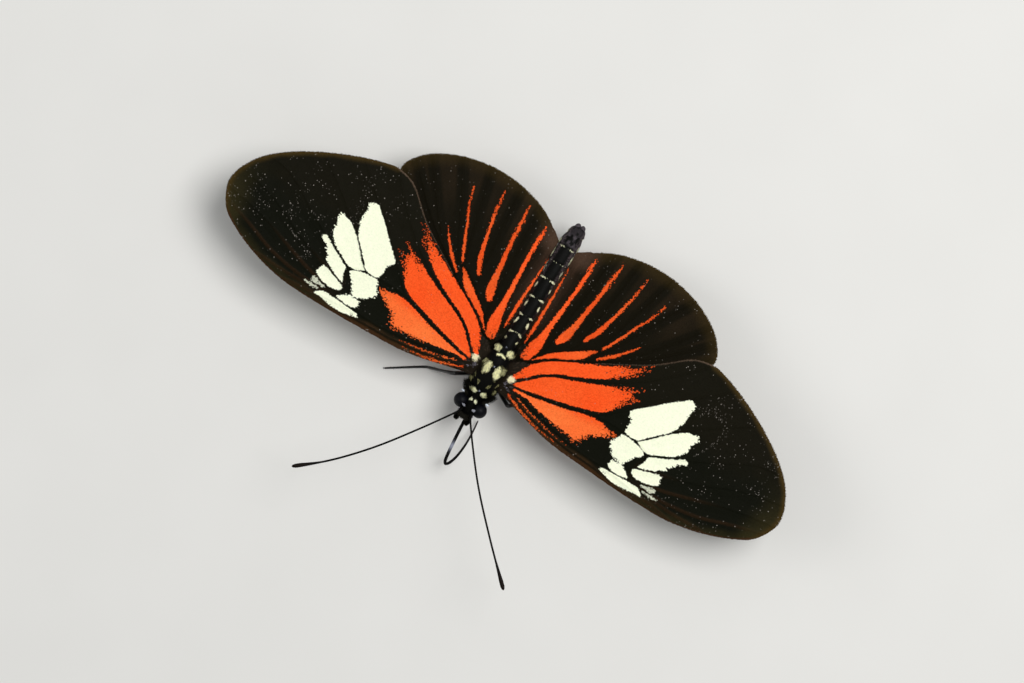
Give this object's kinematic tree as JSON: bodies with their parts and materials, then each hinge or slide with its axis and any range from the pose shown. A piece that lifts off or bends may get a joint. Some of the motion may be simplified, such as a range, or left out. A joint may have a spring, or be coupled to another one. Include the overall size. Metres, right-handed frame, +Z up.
{
  "type": "heliconius xanthocles butterfly",
  "caption": "Still life-size longwing butterfly, wings spread flat, black with orange rays and cream forewing spots, standing on its legs.",
  "frame": {"origin": "on the floor, below the middle of the whole butterfly", "axes": "+Z up, the head and antennae towards -Y, the butterfly's left wings towards +X"},
  "size_m": [0.0778, 0.0434, 0.0101],
  "materials": {
    "forewing_scales": "satin, fine overlapping scales: black with orange rays and cream spots",
    "hindwing_scales": "satin, fine overlapping scales: dark brown with orange rays",
    "body_scales": "short soft hair-like scales, black with cream spots",
    "compound_eye": "smooth, faintly faceted",
    "dark_cuticle": "smooth dark horn"
  },
  "bodies": {
    "root": {"abdomen": "body_scales", "antenna_l": "dark_cuticle", "antenna_r": "dark_cuticle", "eye_l": "compound_eye", "eye_r": "compound_eye", "foreleg_l": "dark_cuticle", "foreleg_r": "dark_cuticle", "forewing_l": "forewing_scales", "forewing_r": "forewing_scales", "head": "body_scales", "hindleg_femur_l": "dark_cuticle", "hindleg_femur_r": "dark_cuticle", "hindleg_tarsus_l": "dark_cuticle", "hindleg_tarsus_r": "dark_cuticle", "hindleg_tibia_l": "dark_cuticle", "hindleg_tibia_r": "dark_cuticle", "hindwing_l": "hindwing_scales", "hindwing_r": "hindwing_scales", "midleg_femur_l": "dark_cuticle", "midleg_femur_r": "dark_cuticle", "midleg_tarsus_l": "dark_cuticle", "midleg_tarsus_r": "dark_cuticle", "midleg_tibia_l": "dark_cuticle", "midleg_tibia_r": "dark_cuticle", "palp_l": "body_scales", "palp_r": "body_scales", "proboscis_back": "dark_cuticle", "proboscis_out": "dark_cuticle", "thorax": "body_scales"}
  },
  "joints": []
}
